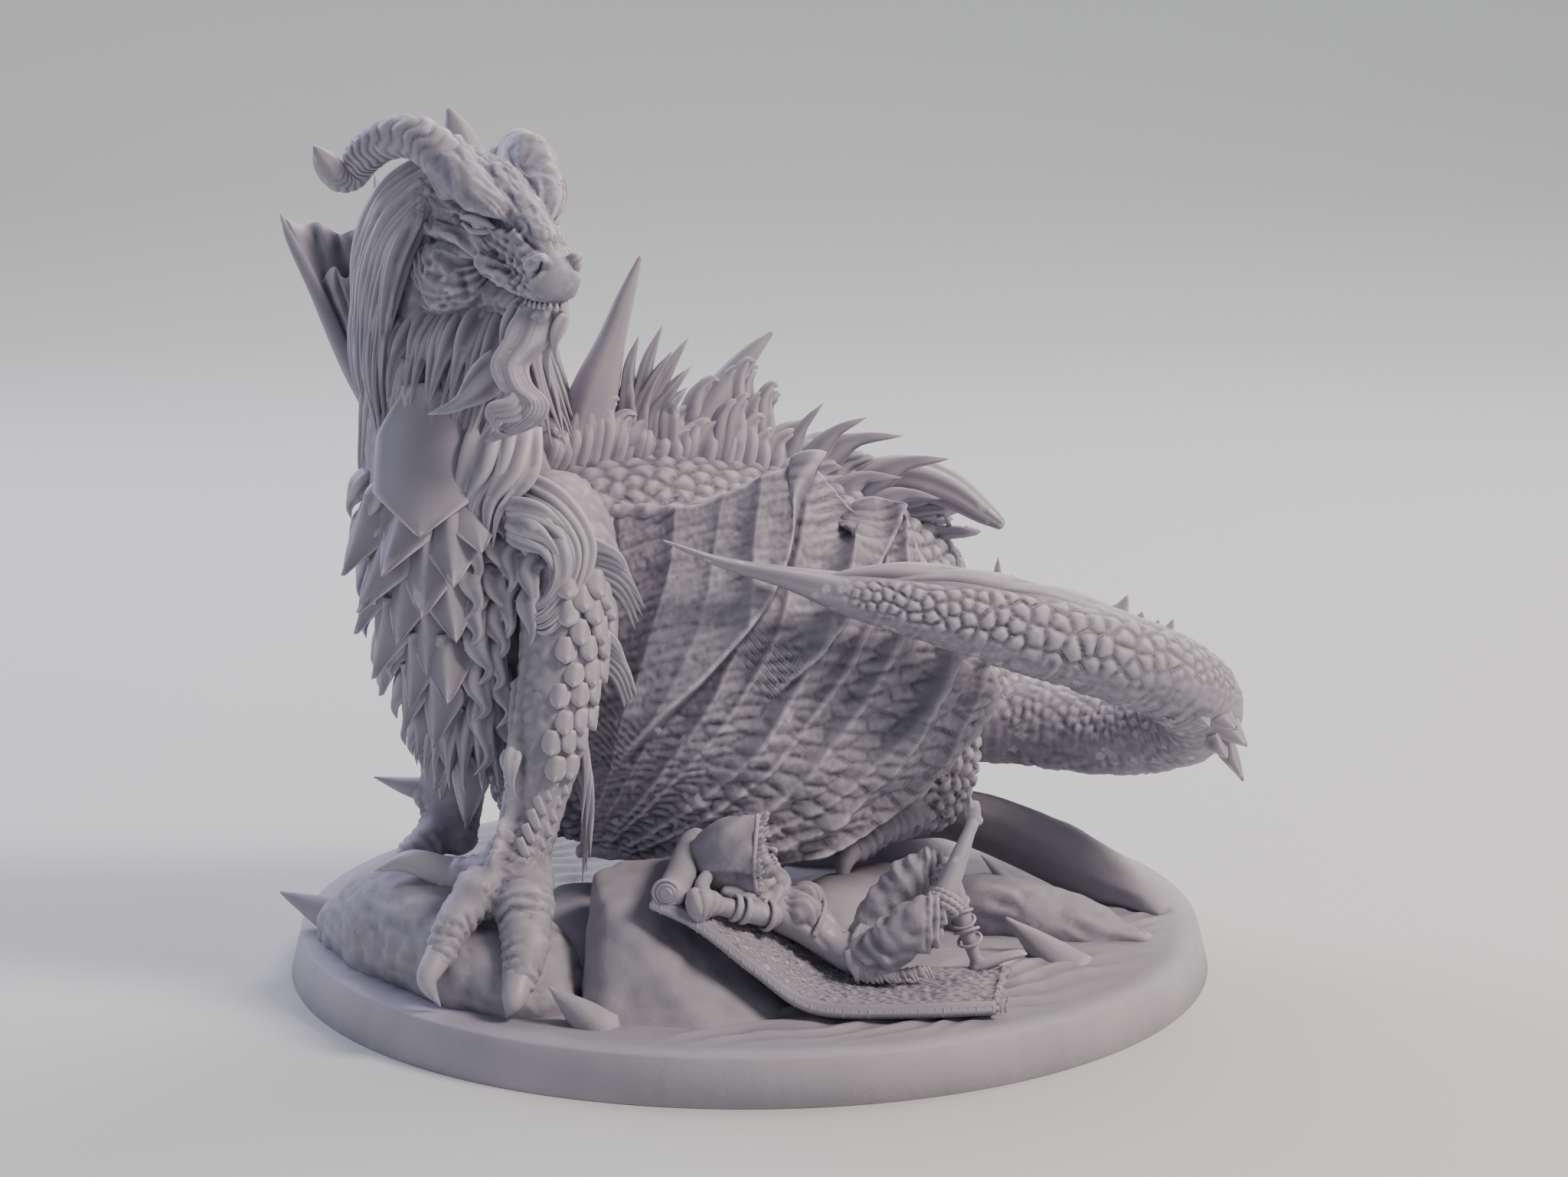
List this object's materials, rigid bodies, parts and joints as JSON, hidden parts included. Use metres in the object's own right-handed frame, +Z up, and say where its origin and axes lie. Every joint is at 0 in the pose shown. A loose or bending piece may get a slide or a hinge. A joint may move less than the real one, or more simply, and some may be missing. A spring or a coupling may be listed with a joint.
{
  "type": "sand_dragon_sculpture",
  "caption": "Grey cast resin miniature of a ram-horned sand dragon at rest on a round scenic base, tail curled forward, beside a hooded traveller lying on a mat.",
  "frame": {"origin": "centre of the base's flat underside", "axes": "+Z up, +X to the side the tail curls round, -Y to the side on which the traveller lies"},
  "size_m": [0.0792, 0.075, 0.0686],
  "materials": {
    "base_resin": "cast resin, sanded smooth on the rim, sandy on top",
    "dragon_resin": "cast resin, satin matte, scaled and haired",
    "mat_resin": "cast resin, woven relief",
    "traveller_resin": "cast resin, satin matte"
  },
  "bodies": {
    "root": {"base": "base_resin", "dragon": "dragon_resin", "mat": "mat_resin", "traveller": "traveller_resin"}
  },
  "joints": []
}
